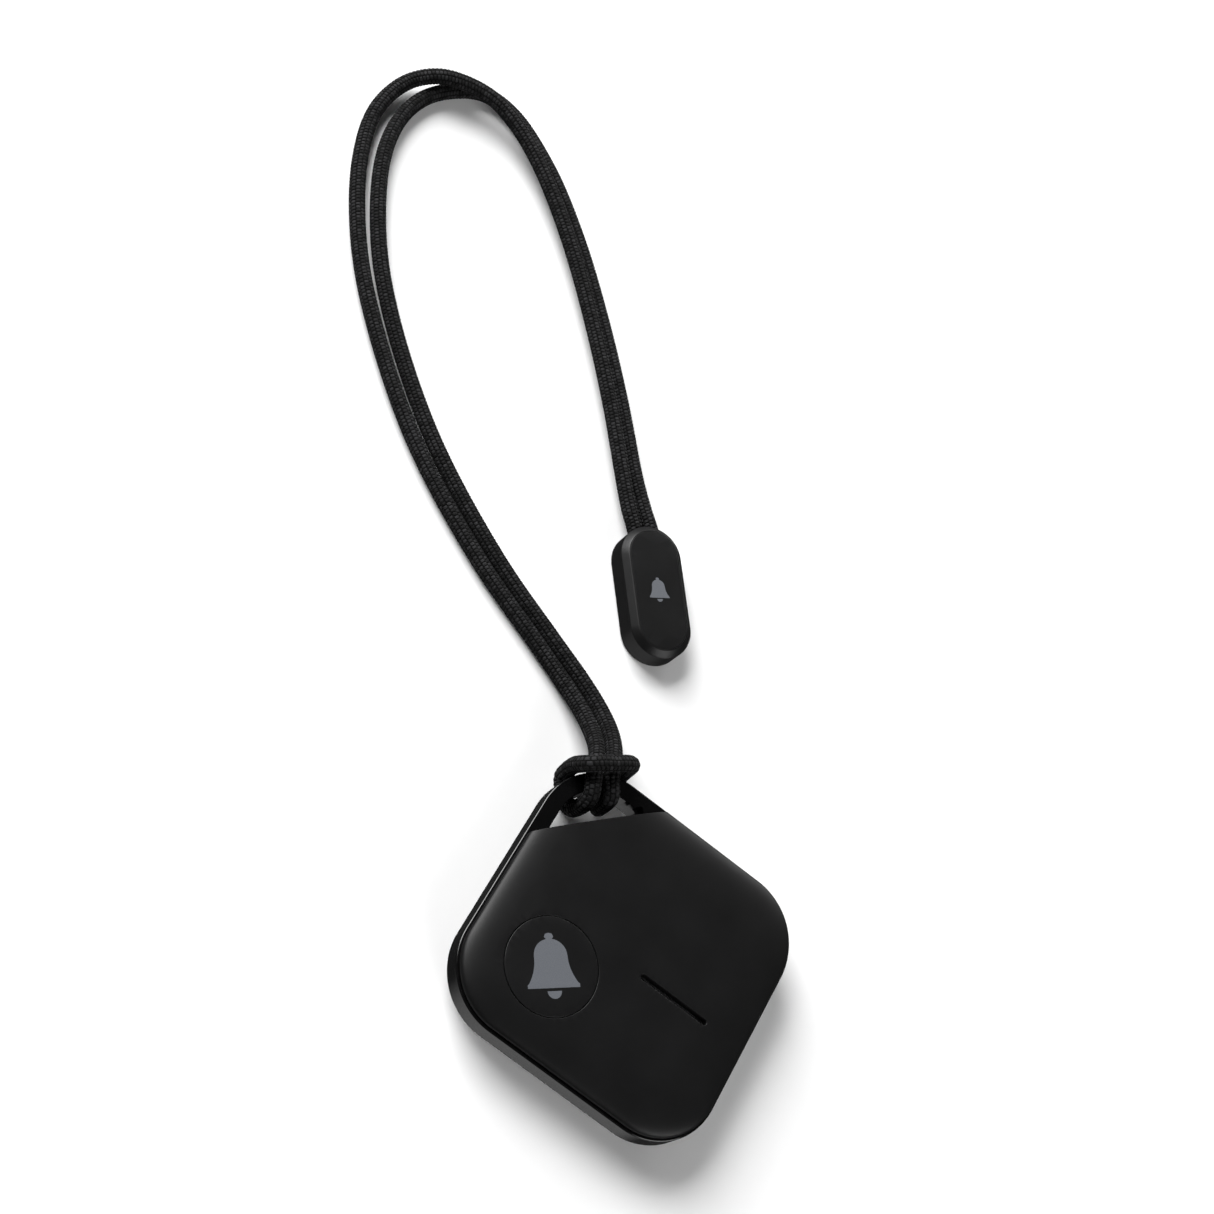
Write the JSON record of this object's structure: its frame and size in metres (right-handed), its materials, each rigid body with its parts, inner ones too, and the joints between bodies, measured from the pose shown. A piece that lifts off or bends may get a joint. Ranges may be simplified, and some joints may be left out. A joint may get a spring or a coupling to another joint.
{
  "type": "bluetooth tracker tag",
  "caption": "Flat rounded-square tracker tag with a round press button, a sound slot and a corner eye, on a looped woven hand cord with an end bead.",
  "frame": {"origin": "on the resting surface, under the middle of the tag", "axes": "+Z out of the front cover, +X along the sound slot, +Y towards the side with the corner eye"},
  "size_m": [0.1118, 0.1187, 0.0107],
  "materials": {
    "matte_black": "fine matt moulding",
    "gloss_black": "polished moulding",
    "tray_black": "plain moulding",
    "bead_black": "satin moulding",
    "seal_rubber": "soft black rubber",
    "chip_plastic": "moulded package",
    "dark_nylon": "dark nylon",
    "mesh_cloth": "fine black mesh",
    "contact_brass": "bright sheet",
    "white_ceramic": "fired",
    "spring_steel": "bright sheet",
    "board_laminate": "green lacquer",
    "woven_cord": "black woven polyester"
  },
  "bodies": {
    "housing": {"mid_frame": "gloss_black", "back_cover": "tray_black", "cover_gasket": "seal_rubber", "switch_body": "chip_plastic", "piezo_contact_ceramic": "spring_steel", "piezo_contact_plate": "spring_steel", "circuit_board": "board_laminate", "radio_chip": "chip_plastic", "clock_crystal": "spring_steel", "crystal_capacitor": "white_ceramic", "supply_inductor": "chip_plastic", "supply_capacitor": "white_ceramic", "chip_antenna": "white_ceramic", "antenna_capacitor_1": "white_ceramic", "antenna_capacitor_2": "white_ceramic", "cell_cradle": "dark_nylon", "cell_contact_positive": "spring_steel", "cell_contact_negative": "contact_brass", "lanyard_cord": "woven_cord", "bead_shell": "bead_black", "bead_face": "bead_black", "cord_crimp": "spring_steel"},
    "cover": {"front_cover": "matte_black", "sound_mesh": "mesh_cloth", "piezo_spacer": "seal_rubber", "piezo_plate": "contact_brass", "piezo_ceramic": "white_ceramic", "button_seal": "seal_rubber"},
    "button": {"button_cap": "matte_black"},
    "plunger": {"switch_plunger": "dark_nylon"},
    "cell": {"coin_cell": "spring_steel"}
  },
  "joints": [
    {"name": "cover_lift", "type": "slide", "parent": "housing", "child": "cover", "axis": [0, 0, 1], "range_m": [0, 0.012]},
    {"name": "cell_lift", "type": "slide", "parent": "housing", "child": "cell", "axis": [0, 0, 1], "range_m": [0, 0.006]},
    {"name": "button_press", "type": "slide", "parent": "cover", "child": "button", "axis": [0, 0, -1], "range_m": [0, 0.0003], "stiffness_N_per_m": 1500},
    {"name": "plunger_press", "type": "slide", "parent": "housing", "child": "plunger", "axis": [0, 0, -1], "range_m": [0, 0.0003]}
  ],
  "couplings": [
    {"joint": "cell_lift", "follows": "cover_lift", "ratio": 0.5},
    {"joint": "plunger_press", "follows": "button_press", "ratio": 1}
  ]
}
